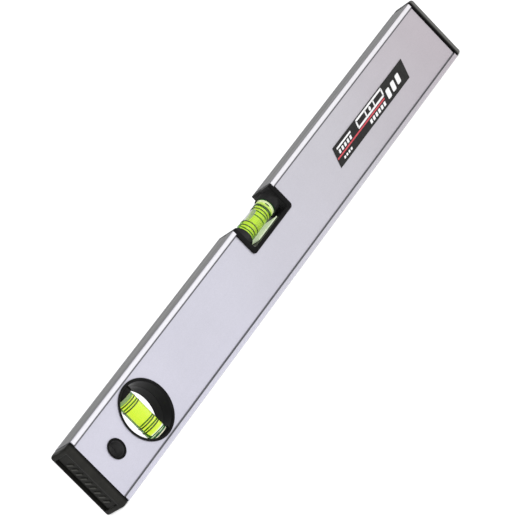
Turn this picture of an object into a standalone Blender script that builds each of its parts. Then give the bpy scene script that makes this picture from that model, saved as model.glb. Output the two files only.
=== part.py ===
"""Box-section spirit level, 450 mm long, with a horizontal vial in the top edge and a plumb vial.

Run with: blender --background --python part.py

The level stands on its lower measuring edge at z = 0. X runs along its length, the front face
looks toward -Y, and the origin is below the middle of the body. The two air bubbles are the
only moving pieces: each has its origin on the axis of its own vial.
"""

import math

import bmesh
import bpy
from mathutils import Matrix, Vector

MM = 0.001

# Driving dimensions, in millimetres.
LENGTH = 450.0
HEIGHT = 48.0
THICKNESS = 18.0
GAP = 0.3

# Aluminium box section.
CAP_LENGTH = 6.0
RIM_HEIGHT = 3.2
WEB_RECESS = 0.75
WALL_INSIDE = 2.1
FLANGE = 2.6
CORNER_RADIUS = 1.0
LINE_WIDTH = 0.5
LINE_DEPTH = 0.35

# End caps: the rim of the end face is rounded further along the length than across it.
CAP_CORNER = 2.0
CAP_ROUND_LONG = 2.4
CAP_ROUND_SIDE = 1.2
CAP_ROUND_STEPS = 4
CAP_FRAME = 2.2
CAP_RECESS = 1.2
CAP_FLOOR = 1.5
SPIGOT_LENGTH = 11.0
SPIGOT_WALL = 1.6
SLOT_BACK_SIDE = (4.7, 7.1)
SLOT_DEPTH = 2.6
RIB_COUNT = 9
RIB_PITCH = 3.7
RIB_MIDDLE_Y = 0.6
RIB_MIDDLE_Z = 22.7
RIB_REACH = 2.2
RIB_SLANT = 0.9
RIB_HALF_WIDTH = 0.6
RIB_HEIGHT = 0.6
RIB_ROOT = 0.4

# Both vials are the same piece: radii and stations are measured from the middle of the bore.
VIAL_RADIUS = 6.15
VIAL_HALF = 19.8
BORE_RADIUS = 5.2
BORE_END = -17.0
PLUG_FACE = 15.5
PLUG_RADIUS = 4.9
PIN_RADIUS = 0.6
PIN_CLEARANCE = 0.2
LINE_STATIONS = (-10.0, -6.5, 6.5, 10.0)
LINE_BAND = 0.8
LINE_INNER_RADIUS = 6.21
LINE_OUTER_RADIUS = 6.36
FLUID_RADIUS = 5.0
FLUID_END = -16.8
FLUID_FACE = 15.2

# Horizontal vial and its holder, which sits in a notch in the top edge.
LEVEL_VIAL_Z = 39.0
NOTCH_HALF = 24.2
NOTCH_FLOOR = 28.8
NOTCH_CORNER = 2.6
HOLDER_WALL_INSIDE = 21.0
HOLDER_FLOOR_TOP = 30.6
HOLDER_FILLET = 1.6
HOLDER_TOP = 47.8
HOLDER_LIP = 0.8
COLLAR_RADIUS = 7.3
COLLAR_END = 15.0
COLLAR_ROOT = 1.0
LEVEL_BUBBLE_RADIUS = 4.8
LEVEL_BUBBLE_FLOOR = 2.1
LEVEL_BUBBLE_HALF = 6.0
LEVEL_BUBBLE_TAPER = 0.6
LEVEL_BUBBLE_SECTIONS = 10
LEVEL_SLOT_FLOOR = 1.8
LEVEL_SLOT_ENDS = (-16.0, 14.7)
REFLECTOR_ENDS = (-12.2, 11.2)
REFLECTOR_WIDTH = 13.0
REFLECTOR_THICK = 0.5

# Plumb vial and the round window that holds it.
PLUMB_X = -165.0
PLUMB_Z = 24.0
RING_LIP_RADIUS = 19.3
RING_BARREL_RADIUS = 18.2
RING_BORE_RADIUS = 17.3
LIP_THICK = 0.4
SEAT_RADIUS = 7.3
SEAT_DEPTH = 0.45
SEAT_ENDS = (-13.5, 16.4)
PLUMB_BUBBLE_RADIUS = 4.3
PLUMB_BUBBLE_HALF = 3.0
PLUMB_BUBBLE_CORNER = 2.0
PLUMB_BUBBLE_STATION = 13.4
PLUMB_CHANNEL_RADIUS = 4.6
PLUMB_CHANNEL_END = 15.0

# Hanging hole and its lining.
HANG_X = -199.5
HANG_Z = 24.0
HANG_LIP_RADIUS = 6.4
HANG_BARREL_RADIUS = 5.4
HANG_BORE_RADIUS = 4.7

# Label, a slanted strip on the front face.
LABEL_LEFT = 76.0
LABEL_LENGTH = 98.0
LABEL_BOTTOM = 17.4
LABEL_HEIGHT = 12.2
LABEL_SLANT = 5.8
LABEL_THICK = 0.2
LABEL_GAP = 0.1

# Finish of small edges, and facets in round pieces.
EDGE = 0.5
FINE_EDGE = 0.15
WINDOW_CHAMFER = 0.8
HANG_CHAMFER = 0.7
ROUND_STEPS = 32
BUSH_STEPS = 24
WINDOW_STEPS = 56
BUBBLE_STEPS = 16
CORNER_STEPS = 3
DOME_STEPS = 4
SHARP_ANGLE = 30.0
WELD = 1e-5

CUT_REACH = 20.0

HALF_LENGTH = LENGTH / 2
HALF_THICK = THICKNESS / 2
BODY_HALF = HALF_LENGTH - CAP_LENGTH
WEB_FACE = HALF_THICK - WEB_RECESS
LIP_INSIDE = WEB_FACE + GAP
LIP_OUTSIDE = LIP_INSIDE + LIP_THICK


def clear_scene():
    for obj in list(bpy.data.objects):
        bpy.data.objects.remove(obj, do_unlink=True)


def material(name, colour, roughness, metallic=0.0):
    made = bpy.data.materials.new(name)
    made.use_nodes = True
    shader = made.node_tree.nodes["Principled BSDF"]
    shader.inputs["Base Color"].default_value = (*colour, 1.0)
    shader.inputs["Roughness"].default_value = roughness
    shader.inputs["Metallic"].default_value = metallic
    return made


def new_object(name, bm, finish=None):
    """A new object from a bmesh whose coordinates are in millimetres."""
    bmesh.ops.remove_doubles(bm, verts=bm.verts, dist=WELD)
    bmesh.ops.recalc_face_normals(bm, faces=bm.faces)
    bmesh.ops.scale(bm, vec=(MM, MM, MM), verts=bm.verts)
    mesh = bpy.data.meshes.new(name)
    bm.to_mesh(mesh)
    bm.free()
    mesh.shade_smooth()
    mesh.set_sharp_from_angle(angle=math.radians(SHARP_ANGLE))
    if finish:
        mesh.materials.append(finish)
    obj = bpy.data.objects.new(name, mesh)
    bpy.context.scene.collection.objects.link(obj)
    return obj


def boolean(target, tool, operation="DIFFERENCE"):
    """Keeps the tool hidden and lets a Boolean modifier cut or join the target with it."""
    tool.hide_render = True
    tool.display_type = "WIRE"
    step = target.modifiers.new(tool.name, "BOOLEAN")
    step.operation = operation
    step.object = tool
    step.solver = "EXACT"


def arc(centre, radius, start, end, steps):
    """Points along an arc, angles in degrees."""
    points = []
    for step in range(steps + 1):
        angle = math.radians(start + (end - start) * step / steps)
        points.append((centre[0] + radius * math.cos(angle), centre[1] + radius * math.sin(angle)))
    return points


def rounded_rectangle(half_u, low_v, high_v, radius, steps=CORNER_STEPS):
    """A closed outline in (u, v), anticlockwise from the lower right corner."""
    u = half_u - radius
    outline = arc((u, low_v + radius), radius, -90, 0, steps)
    outline += arc((u, high_v - radius), radius, 0, 90, steps)
    outline += arc((-u, high_v - radius), radius, 90, 180, steps)
    outline += arc((-u, low_v + radius), radius, 180, 270, steps)
    return outline


def loft_mesh(rings):
    """One closed skin through rings of the same number of points, with both ends filled."""
    bm = bmesh.new()
    loops = [[bm.verts.new(point) for point in ring] for ring in rings]
    for first, second in zip(loops, loops[1:]):
        for index in range(len(first)):
            after = (index + 1) % len(first)
            bm.faces.new((first[index], first[after], second[after], second[index]))
    bm.faces.new(reversed(loops[0]))
    bm.faces.new(loops[-1])
    return bm


def prism(name, outline, place, low, high, finish=None):
    """The outline's (u, v) points extruded from low to high; place(u, v, depth) gives x, y, z."""
    rings = [[place(u, v, depth) for u, v in outline] for depth in (low, high)]
    return new_object(name, loft_mesh(rings), finish)


def along_x(y, z, depth):
    return (depth, y, z)


def along_y(x, z, depth):
    return (x, depth, z)


def turned_mesh(profile, steps):
    """A closed (radius, height) profile spun about the local Z axis."""
    bm = bmesh.new()
    verts = [bm.verts.new((radius, 0.0, height)) for radius, height in profile]
    edges = [bm.edges.new((verts[i - 1], verts[i])) for i in range(len(verts))]
    bmesh.ops.spin(
        bm,
        geom=verts + edges,
        axis=(0, 0, 1),
        cent=(0, 0, 0),
        angle=math.tau,
        steps=steps,
        use_merge=True,
    )
    return bm


def turned(name, profile, matrix, finish=None, steps=ROUND_STEPS):
    obj = new_object(name, turned_mesh(profile, steps), finish)
    obj.matrix_world = matrix
    return obj


def frame_at(x, y, z, axis):
    """A placement in metres whose local Z points along the given world direction."""
    turn = Vector((0, 0, 1)).rotation_difference(Vector(axis)).to_matrix().to_4x4()
    return Matrix.Translation(Vector((x, y, z)) * MM) @ turn


def cylinder(name, radius, low, high, matrix, finish=None, steps=ROUND_STEPS):
    """A solid cylinder from low to high along the local Z axis of the placement."""
    rings = []
    for height in (low, high):
        ring = arc((0, 0), radius, 0, 360 * (steps - 1) / steps, steps - 1)
        rings.append([(u, v, height) for u, v in ring])
    obj = new_object(name, loft_mesh(rings), finish)
    obj.matrix_world = matrix
    return obj


def block(name, low, high, finish=None):
    outline = [(low[0], low[1]), (high[0], low[1]), (high[0], high[1]), (low[0], high[1])]
    rings = [[(x, y, z) for x, y in outline] for z in (low[2], high[2])]
    return new_object(name, loft_mesh(rings), finish)


def half_section():
    """One side of the box section's outline in (y, z), from the bottom edge to the top edge."""
    groove_low = RIM_HEIGHT
    groove_high = HEIGHT - RIM_HEIGHT
    groove_bed = WEB_FACE - LINE_DEPTH
    side = arc((HALF_THICK - CORNER_RADIUS, CORNER_RADIUS), CORNER_RADIUS, -90, 0, CORNER_STEPS)
    side += [(HALF_THICK, groove_low), (groove_bed, groove_low)]
    side += [(groove_bed, groove_low + LINE_WIDTH), (WEB_FACE, groove_low + LINE_WIDTH)]
    side += [(WEB_FACE, groove_high - LINE_WIDTH), (groove_bed, groove_high - LINE_WIDTH)]
    side += [(groove_bed, groove_high), (HALF_THICK, groove_high)]
    top_corner = (HALF_THICK - CORNER_RADIUS, HEIGHT - CORNER_RADIUS)
    side += arc(top_corner, CORNER_RADIUS, 0, 90, CORNER_STEPS)
    return side


def box_extrusion(finish):
    """The tube, cut for the window, the hanging hole and the notch of the horizontal vial."""
    right = half_section()
    outline = right + [(-y, z) for y, z in reversed(right)]
    body = prism("box_extrusion", outline, along_x, -BODY_HALF, BODY_HALF, finish)
    inside = rounded_rectangle(HALF_THICK - WALL_INSIDE, FLANGE, HEIGHT - FLANGE, CORNER_RADIUS)
    boolean(body, prism("cut_inside", inside, along_x, -HALF_LENGTH, HALF_LENGTH))
    through = (-CUT_REACH, CUT_REACH)
    across = frame_at(PLUMB_X, 0, PLUMB_Z, (0, 1, 0))
    window = RING_BARREL_RADIUS + GAP
    boolean(body, cylinder("cut_window", window, *through, across, steps=WINDOW_STEPS))
    across = frame_at(HANG_X, 0, HANG_Z, (0, 1, 0))
    bush = HANG_BARREL_RADIUS + GAP
    boolean(body, cylinder("cut_hanging_hole", bush, *through, across, steps=BUSH_STEPS))
    notch = rounded_rectangle(NOTCH_HALF, NOTCH_FLOOR, 2 * HEIGHT, NOTCH_CORNER)
    boolean(body, prism("cut_notch", notch, along_y, *through))


def cap_ring(x, inset, radius):
    outline = rounded_rectangle(HALF_THICK - inset, inset, HEIGHT - inset, radius)
    return [(x, y, z) for y, z in outline]


def rounded_rim(outer):
    """The cap's rings from the end face round to its sides, along a quarter of an ellipse."""
    rings = []
    for along, across in arc((0, 0), 1.0, 0, 90, CAP_ROUND_STEPS):
        inset = CAP_ROUND_SIDE * (1 - across)
        rings.append(cap_ring(outer - CAP_ROUND_LONG * (1 - along), inset, CAP_CORNER - inset))
    return rings


def end_cap(name, side, finish):
    """A plastic cap: outer block with a recessed panel, and a hollow spigot inside the tube."""
    outer = HALF_LENGTH
    inner = BODY_HALF + GAP
    spigot = BODY_HALF - SPIGOT_LENGTH
    spigot_inset = max(WALL_INSIDE, FLANGE) + GAP
    panel_inset = CAP_ROUND_SIDE + CAP_FRAME
    rings = [
        cap_ring(outer - CAP_RECESS, panel_inset + GAP, EDGE),
        cap_ring(outer, panel_inset, EDGE + GAP),
        *rounded_rim(outer),
        cap_ring(inner, 0.0, CAP_CORNER),
        cap_ring(inner, spigot_inset, CORNER_RADIUS),
        cap_ring(spigot, spigot_inset, CORNER_RADIUS),
        cap_ring(spigot, spigot_inset + SPIGOT_WALL, EDGE),
        cap_ring(inner + CAP_FLOOR, spigot_inset + SPIGOT_WALL, EDGE),
    ]
    rings = [[(side * x, y, z) for x, y, z in ring] for ring in rings]
    cap = new_object(name, loft_mesh(rings), finish)
    near, far = sorted((side * (outer - SLOT_DEPTH), side * (outer + GAP)))
    slot_low = (near, SLOT_BACK_SIDE[0], panel_inset + GAP)
    slot_high = (far, SLOT_BACK_SIDE[1], HEIGHT - panel_inset - GAP)
    boolean(cap, block(f"{name}_slot", slot_low, slot_high))
    for index in range(RIB_COUNT):
        boolean(cap, panel_rib(f"{name}_rib_{index}", side, index), "UNION")


def panel_rib(name, side, index):
    """One slanted low rib on the cap's recessed panel."""
    middle = RIB_MIDDLE_Z + (index - (RIB_COUNT - 1) / 2) * RIB_PITCH
    near = RIB_MIDDLE_Y - RIB_REACH
    far = RIB_MIDDLE_Y + RIB_REACH
    outline = [
        (near, middle - RIB_SLANT - RIB_HALF_WIDTH),
        (far, middle + RIB_SLANT - RIB_HALF_WIDTH),
        (far, middle + RIB_SLANT + RIB_HALF_WIDTH),
        (near, middle - RIB_SLANT + RIB_HALF_WIDTH),
    ]
    floor = HALF_LENGTH - CAP_RECESS
    ends = sorted((side * (floor - RIB_ROOT), side * (floor + RIB_HEIGHT)))
    return prism(name, outline, along_x, *ends)


def vial_tube(name, matrix, finish):
    """Clear barrel, closed at its lower station and open where the plug goes in."""
    profile = [
        (0.0, -VIAL_HALF),
        (VIAL_RADIUS - EDGE, -VIAL_HALF),
        (VIAL_RADIUS, -VIAL_HALF + EDGE),
        (VIAL_RADIUS, VIAL_HALF - EDGE),
        (VIAL_RADIUS - EDGE, VIAL_HALF),
        (BORE_RADIUS, VIAL_HALF),
        (BORE_RADIUS, BORE_END),
        (0.0, BORE_END),
    ]
    turned(name, profile, matrix, finish)


def vial_line(name, station, matrix, finish):
    """Thin dark band round the barrel."""
    profile = [
        (LINE_INNER_RADIUS, station - LINE_BAND / 2),
        (LINE_OUTER_RADIUS, station - LINE_BAND / 2),
        (LINE_OUTER_RADIUS, station + LINE_BAND / 2),
        (LINE_INNER_RADIUS, station + LINE_BAND / 2),
    ]
    turned(name, profile, matrix, finish)


def vial_plug(name, matrix, finish):
    """Bung in the open end of the barrel, with a filling hole on its axis."""
    hole = PIN_RADIUS + PIN_CLEARANCE
    profile = [
        (hole, PLUG_FACE),
        (PLUG_RADIUS, PLUG_FACE),
        (PLUG_RADIUS, VIAL_HALF - EDGE),
        (PLUG_RADIUS - EDGE, VIAL_HALF),
        (hole, VIAL_HALF),
    ]
    turned(name, profile, matrix, finish)


def level_bubble(finish):
    """Shallow bubble along the top of the bore, flat underneath, with both ends tapering away."""
    rings = []
    for section in range(LEVEL_BUBBLE_SECTIONS):
        turn = math.pi * (section + 0.5) / LEVEL_BUBBLE_SECTIONS
        depth = (LEVEL_BUBBLE_RADIUS - LEVEL_BUBBLE_FLOOR) * math.sin(turn) ** LEVEL_BUBBLE_TAPER
        edge = math.degrees(math.asin((LEVEL_BUBBLE_RADIUS - depth) / LEVEL_BUBBLE_RADIUS))
        outline = arc((0, 0), LEVEL_BUBBLE_RADIUS, edge, 180 - edge, BUBBLE_STEPS)
        x = -LEVEL_BUBBLE_HALF * math.cos(turn)
        rings.append([(x, y, z) for y, z in outline])
    bubble = new_object("level_bubble", loft_mesh(rings), finish)
    bubble.location = Vector((0, 0, LEVEL_VIAL_Z)) * MM


def plumb_bubble(finish):
    """Short round bubble across the upper end of the upright vial."""
    radius = PLUMB_BUBBLE_RADIUS - PLUMB_BUBBLE_CORNER
    height = PLUMB_BUBBLE_HALF - PLUMB_BUBBLE_CORNER
    profile = [(0.0, -PLUMB_BUBBLE_HALF)]
    profile += arc((radius, -height), PLUMB_BUBBLE_CORNER, -90, 0, DOME_STEPS)
    profile += arc((radius, height), PLUMB_BUBBLE_CORNER, 0, 90, DOME_STEPS)
    profile += [(0.0, PLUMB_BUBBLE_HALF)]
    place = frame_at(PLUMB_X, 0, PLUMB_Z + PLUMB_BUBBLE_STATION, (0, 0, 1))
    turned("plumb_bubble", profile, place, finish, ROUND_STEPS)


def common_vial_pieces(prefix, matrix, finishes):
    """The pieces that both vials share, all on the vial's own axis."""
    vial_tube(f"{prefix}_vial_tube", matrix, finishes["clear"])
    vial_plug(f"{prefix}_vial_plug", matrix, finishes["plug"])
    pin_ends = (PLUG_FACE, VIAL_HALF - EDGE)
    cylinder(f"{prefix}_fill_pin", PIN_RADIUS, *pin_ends, matrix, finishes["black"], BUBBLE_STEPS)
    for number, station in enumerate(LINE_STATIONS, 1):
        vial_line(f"{prefix}_vial_line_{number}", station, matrix, finishes["line"])
    fluid_ends = (FLUID_END, FLUID_FACE)
    return cylinder(f"{prefix}_fluid", FLUID_RADIUS, *fluid_ends, matrix, finishes["fluid"])


def level_unit(finishes):
    """Horizontal vial, its bubble, the two halves of its holder and the pale strip below it."""
    matrix = frame_at(0, 0, LEVEL_VIAL_Z, (1, 0, 0))
    fluid = common_vial_pieces("level", matrix, finishes)
    slot_low = (LEVEL_SLOT_ENDS[0], -VIAL_RADIUS, LEVEL_VIAL_Z + LEVEL_SLOT_FLOOR)
    slot_high = (LEVEL_SLOT_ENDS[1], VIAL_RADIUS, LEVEL_VIAL_Z + VIAL_RADIUS)
    boolean(fluid, block("cut_level_slot", slot_low, slot_high))
    level_bubble(finishes["bubble"])
    for side, name in ((-1, "level_holder_front"), (1, "level_holder_back")):
        level_holder(name, side, finishes["black"])
    strip_top = HOLDER_FLOOR_TOP + GAP + REFLECTOR_THICK
    low = (REFLECTOR_ENDS[0], -REFLECTOR_WIDTH / 2, strip_top - REFLECTOR_THICK)
    high = (REFLECTOR_ENDS[1], REFLECTOR_WIDTH / 2, strip_top)
    block("level_reflector", low, high, finishes["pale"])


def u_frame(half_outside, low, top, corner):
    """Outline in (x, z) of a frame open at the top: two walls and a floor."""
    outer = half_outside - corner
    inner = HOLDER_WALL_INSIDE - HOLDER_FILLET
    floor = HOLDER_FLOOR_TOP + HOLDER_FILLET
    outline = [(-half_outside, top)]
    outline += arc((-outer, low + corner), corner, 180, 270, CORNER_STEPS)
    outline += arc((outer, low + corner), corner, 270, 360, CORNER_STEPS)
    outline += [(half_outside, top), (HOLDER_WALL_INSIDE, top)]
    outline += arc((inner, floor), HOLDER_FILLET, 0, -90, CORNER_STEPS)
    outline += arc((-inner, floor), HOLDER_FILLET, 270, 180, CORNER_STEPS)
    outline += [(-HOLDER_WALL_INSIDE, top)]
    return outline


def level_holder(name, side, finish):
    """Half of the vial holder: a U frame with a lip on the face and half a collar at each end."""
    joint = side * GAP / 2
    frame = u_frame(NOTCH_HALF - GAP, NOTCH_FLOOR + GAP, HOLDER_TOP, NOTCH_CORNER)
    face = side * LIP_OUTSIDE
    holder = prism(name, frame, along_y, *sorted((joint, face)), finish)
    lip_top = HEIGHT - RIM_HEIGHT - GAP
    lip = u_frame(NOTCH_HALF + HOLDER_LIP, NOTCH_FLOOR - HOLDER_LIP, lip_top, NOTCH_CORNER)
    ends = sorted((side * LIP_INSIDE, face))
    boolean(holder, prism(f"{name}_lip", lip, along_y, *ends), "UNION")
    matrix = frame_at(0, 0, LEVEL_VIAL_Z, (1, 0, 0))
    near, far = sorted((joint, side * CUT_REACH))
    for end in (-1, 1):
        reach = sorted((end * COLLAR_END, end * (HOLDER_WALL_INSIDE + COLLAR_ROOT)))
        tag = "left" if end < 0 else "right"
        collar = cylinder(f"{name}_collar_{tag}", COLLAR_RADIUS, *reach, matrix)
        half_low = (-HALF_LENGTH, near, 0)
        half_high = (HALF_LENGTH, far, 2 * HEIGHT)
        boolean(collar, block(f"{name}_half_{tag}", half_low, half_high), "INTERSECT")
        boolean(holder, collar, "UNION")
    boolean(holder, vial_hole(name, matrix))


def vial_hole(name, matrix):
    """Cutter that clears a vial by the running gap."""
    half = VIAL_HALF + GAP
    return cylinder(f"{name}_vial_hole", VIAL_RADIUS + GAP, -half, half, matrix)


def plumb_unit(finishes):
    """Upright vial, its bubble and the two halves of the round window that holds it."""
    matrix = frame_at(PLUMB_X, 0, PLUMB_Z, (0, 0, -1))
    fluid = common_vial_pieces("plumb", matrix, finishes)
    ends = (-VIAL_HALF, PLUMB_CHANNEL_END)
    boolean(fluid, cylinder("cut_plumb_channel", PLUMB_CHANNEL_RADIUS, *ends, matrix))
    plumb_bubble(finishes["bubble"])
    across = (PLUMB_X, 0, PLUMB_Z)
    radii = (RING_BORE_RADIUS, RING_BARREL_RADIUS, RING_LIP_RADIUS)
    profile = lining_profile(*radii, WINDOW_CHAMFER, -SEAT_DEPTH)
    for side, name in ((-1, "plumb_window_front"), (1, "plumb_window_back")):
        place = frame_at(*across, (0, side, 0))
        window = turned(name, profile, place, finishes["black"], WINDOW_STEPS)
        for tag, station in zip(("upper", "lower"), SEAT_ENDS):
            boolean(window, vial_seat(f"{name}_{tag}", station, matrix, place), "UNION")
        low, high = sorted((side * GAP / 2, -side * CUT_REACH))
        other_half = block(f"{name}_other_half", (-HALF_LENGTH, low, 0), (0, high, HEIGHT))
        boolean(window, other_half)
        boolean(window, vial_hole(name, matrix))


def vial_seat(name, station, matrix, place):
    """The boss that holds one end of the upright vial, trimmed to the round window."""
    ends = sorted((station, math.copysign(CUT_REACH, station)))
    seat = cylinder(f"{name}_seat", SEAT_RADIUS, *ends, matrix)
    radius = RING_BORE_RADIUS + SEAT_DEPTH
    trim = cylinder(f"{name}_trim", radius, -THICKNESS, THICKNESS, place, steps=WINDOW_STEPS)
    boolean(seat, trim, "INTERSECT")
    return seat


def lining_profile(bore, barrel, lip, chamfer, joint):
    """Half of a round lining: a thin barrel with a lip on the face of the level."""
    return [
        (bore, joint),
        (barrel, joint),
        (barrel, LIP_INSIDE),
        (lip, LIP_INSIDE),
        (lip, LIP_OUTSIDE - FINE_EDGE),
        (lip - FINE_EDGE, LIP_OUTSIDE),
        (bore + chamfer, LIP_OUTSIDE),
        (bore, LIP_OUTSIDE - chamfer),
    ]


def hanging_bushes(finish):
    """The two halves of the lining of the hanging hole."""
    radii = (HANG_BORE_RADIUS, HANG_BARREL_RADIUS, HANG_LIP_RADIUS)
    profile = lining_profile(*radii, HANG_CHAMFER, GAP / 2)
    for side, name in ((-1, "hanging_bush_front"), (1, "hanging_bush_back")):
        turned(name, profile, frame_at(HANG_X, 0, HANG_Z, (0, side, 0)), finish, BUSH_STEPS)


def front_label(finish):
    """Slanted strip stuck on the front face."""
    top = LABEL_BOTTOM + LABEL_HEIGHT
    outline = [
        (LABEL_LEFT, LABEL_BOTTOM),
        (LABEL_LEFT + LABEL_LENGTH, LABEL_BOTTOM),
        (LABEL_LEFT + LABEL_LENGTH + LABEL_SLANT, top),
        (LABEL_LEFT + LABEL_SLANT, top),
    ]
    back = -WEB_FACE - LABEL_GAP
    prism("front_label", outline, along_y, back - LABEL_THICK, back, finish)


def main():
    clear_scene()
    aluminium = material("silver paint on aluminium", (0.66, 0.65, 0.70), 0.38, 0.35)
    label = material("printed label", (0.03, 0.03, 0.03), 0.35)
    finishes = {
        "black": material("black plastic", (0.025, 0.025, 0.024), 0.45),
        "clear": material("clear acrylic", (0.85, 0.95, 0.55), 0.05),
        "plug": material("cream plug", (0.90, 0.92, 0.70), 0.35),
        "line": material("line ring", (0.05, 0.08, 0.02), 0.5),
        "fluid": material("yellow-green spirit", (0.55, 0.85, 0.05), 0.05),
        "bubble": material("air bubble", (0.80, 0.85, 0.70), 0.05),
        "pale": material("pale strip", (0.85, 0.90, 0.78), 0.4),
    }
    box_extrusion(aluminium)
    end_cap("end_cap_left", -1, finishes["black"])
    end_cap("end_cap_right", 1, finishes["black"])
    front_label(label)
    level_unit(finishes)
    plumb_unit(finishes)
    hanging_bushes(finishes["black"])


main()
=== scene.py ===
"""Looks for the spirit level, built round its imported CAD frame.

Lengths are in millimetres until a mesh is finished, and the object stands in the CAD's own
frame: X along its length, front face toward -Y, lower measuring edge at z = 0.
"""

import math

import bmesh
import bpy
from mathutils import Matrix, Vector


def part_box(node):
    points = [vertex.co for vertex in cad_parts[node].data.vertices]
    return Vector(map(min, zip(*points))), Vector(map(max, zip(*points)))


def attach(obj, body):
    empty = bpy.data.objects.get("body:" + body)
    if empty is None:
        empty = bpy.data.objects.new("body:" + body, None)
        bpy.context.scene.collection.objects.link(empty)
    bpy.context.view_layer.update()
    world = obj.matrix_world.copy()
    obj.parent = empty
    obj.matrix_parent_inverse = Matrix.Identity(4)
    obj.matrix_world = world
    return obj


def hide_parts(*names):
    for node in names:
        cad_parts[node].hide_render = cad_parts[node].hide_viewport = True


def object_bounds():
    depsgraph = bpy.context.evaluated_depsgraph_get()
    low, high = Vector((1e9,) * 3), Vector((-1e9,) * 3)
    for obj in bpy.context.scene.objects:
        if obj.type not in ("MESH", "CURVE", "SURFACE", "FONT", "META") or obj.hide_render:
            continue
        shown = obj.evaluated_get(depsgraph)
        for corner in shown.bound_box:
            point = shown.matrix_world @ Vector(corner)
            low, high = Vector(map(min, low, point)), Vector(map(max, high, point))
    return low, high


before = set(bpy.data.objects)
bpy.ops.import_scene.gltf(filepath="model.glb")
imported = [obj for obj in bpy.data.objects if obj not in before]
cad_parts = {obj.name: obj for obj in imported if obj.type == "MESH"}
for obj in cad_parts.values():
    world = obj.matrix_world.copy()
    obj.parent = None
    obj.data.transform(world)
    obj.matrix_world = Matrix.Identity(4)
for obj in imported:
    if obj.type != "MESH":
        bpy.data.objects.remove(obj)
cad_low, cad_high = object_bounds()

MM = 0.001
BODY = "level_body"

# Camera, named as a photographer would set it up.
CAMERA_AZIMUTH = -40.44
CAMERA_ELEVATION = 10.37
CAMERA_ROLL = -44.24
CAMERA_DISTANCE = 1.9033
CAMERA_TARGET = (-0.01738, 0.0, 0.02158)
CAMERA_LENS = 216.98
SENSOR = 36.0
CAMERA_CLIP = (0.05, 60.0)

# Studio: the light all round by its height, the glowing floor and two soft lamps. In metres.
HORIZON = (0.05, (1.0, 1.0, 1.0, 1.0))
OVERHEAD = (0.75, (0.42, 0.42, 0.43, 1.0))
FLOOR_REACH = 12.0
FLOOR_DROP = 0.0002
FLOOR_GLOW = 0.62
KEY_LAMP = {"place": (-0.95, -1.0, 0.75), "target": (-0.12, 0.0, 0.02), "size": 0.7, "power": 5.0}
FILL_LAMP = {"place": (0.9, -0.9, 0.5), "target": (0.1, 0.0, 0.02), "size": 0.6, "power": 1.2}

# Places where a finish, a painted highlight or painted shade changes, in metres: X along the
# body, |Y| across it, and the distance up or down from its middle.
BODY_ENDS = (-0.225, 0.225)
RIM_FACE = (0.0086, 0.0089)
GROOVE_FLOOR = (0.0079, 0.0082)
GROOVE_BAND = (0.0205, 0.00052, 0.00015)
SET_IN_FACE = (0.0083, 0.0087)
RIB_TOP_BAND = (0.2243, 0.00035, 0.0001)
RIB_SIDES = (0.0024, 0.0026)
CAP_SHADE = (0.2203, 0.2209)
CAP_SHEEN_ALONG = (0.2212, 0.2220)
CAP_SHEEN_ACROSS = (0.0076, 0.0080)
CAP_SHEEN_SIDES = (-0.1, 0.1)
MILLED_FACING = (0.75, 0.95)

# Range that most of a noise lies in, and what light meets in the clear materials.
NOISE = (0.3, 0.7)
ACRYLIC_IOR = 1.49
AIR_IOR = 0.68
SPIRIT_DENSITY = 300.0

# Finish of small edges and facets. A corner's curve takes no more than SIDE_SHARE of a side.
GAP = 0.3
ROUND_STEPS = 96
WINDOW_STEPS = 144
CORNER_STEPS = 6
FILLET_STEPS = 4
EDGE_SEGMENTS = 2
SIDE_SHARE = 0.45
SHARP_ANGLE = 35.0
AXIS = 1e-6

# Reach of the cutters past what they cut.
CUT_DEPTH = 20.0
CUT_MARGIN = 9.0
CUT_TOP = 60.0
HOLDER_CUT = (60.0, 30.0, 80.0)

# End caps. The panel's edge is given as depth below the face, inset past the panel, and corner.
CAP_CORNER = 2.0
CAP_ROUND_LONG = 2.4
CAP_ROUND_SIDE = 1.2
CAP_ROUND_STEPS = 8
CAP_FRAME = 2.2
CAP_RECESS = 1.2
CAP_FLOOR = 1.5
CAP_LENGTH = 6.0
CAP_GROOVE = 0.75
CAP_GROOVE_DEPTH = 0.35
CAP_GROOVE_SLOPE = 0.1
PANEL_CORNER = 0.5
PANEL_EDGE = ((0.25, 0.08, 0.6), (0.06, -0.08, 0.7), (0.0, -0.3, 0.8))
SPIGOT_INSET = 2.9
SPIGOT_WALL = 1.6
SPIGOT_CORNER = 1.0
SPIGOT_CHAMFER = 0.5
SPIGOT_END_CORNER = 0.6
SPIGOT_INNER_CORNER = 0.5
SLOT_BACK_SIDE = (4.7, 7.1)
SLOT_DEPTH = 2.6
RIB_COUNT = 9
RIB_PITCH = 3.7
RIB_MIDDLE_Y = 0.6
RIB_MIDDLE_Z = 22.7
RIB_REACH = 2.2
RIB_SLANT = 0.9
RIB_HALF_WIDTH = 0.6
RIB_HEIGHT = 0.6
RIB_ROOT = 0.4
RIB_ROUND = 0.4
RIB_EDGE = 0.2

# Vials: radii, and stations along the bore from its middle toward the plug.
BARREL_ROUND = 0.7
PLUG_FACE = 15.5
PLUG_RADIUS = 5.25
PLUG_SET_BACK = 0.2
PLUG_ROUND = 0.35
LINE_COUNT = 4
LINE_WIDTH = 0.86
LINE_CLEAR = 0.02
LINE_PROUD = 0.16
LINE_ROUND = 0.05
SPIRIT_RADIUS = 5.1
SPIRIT_ENDS = (-17.0, 13.6)
SPIRIT_ROUND = 0.5
SEAL_RADII = (5.3, 5.75)
SEAL_ENDS = (14.9, 15.95)
SEAL_ROUND = 0.2
PIN_RADIUS = 1.0
PIN_SUNK = 0.15
PIN_PROUD = 0.1
PIN_ROUND = 0.15

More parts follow.
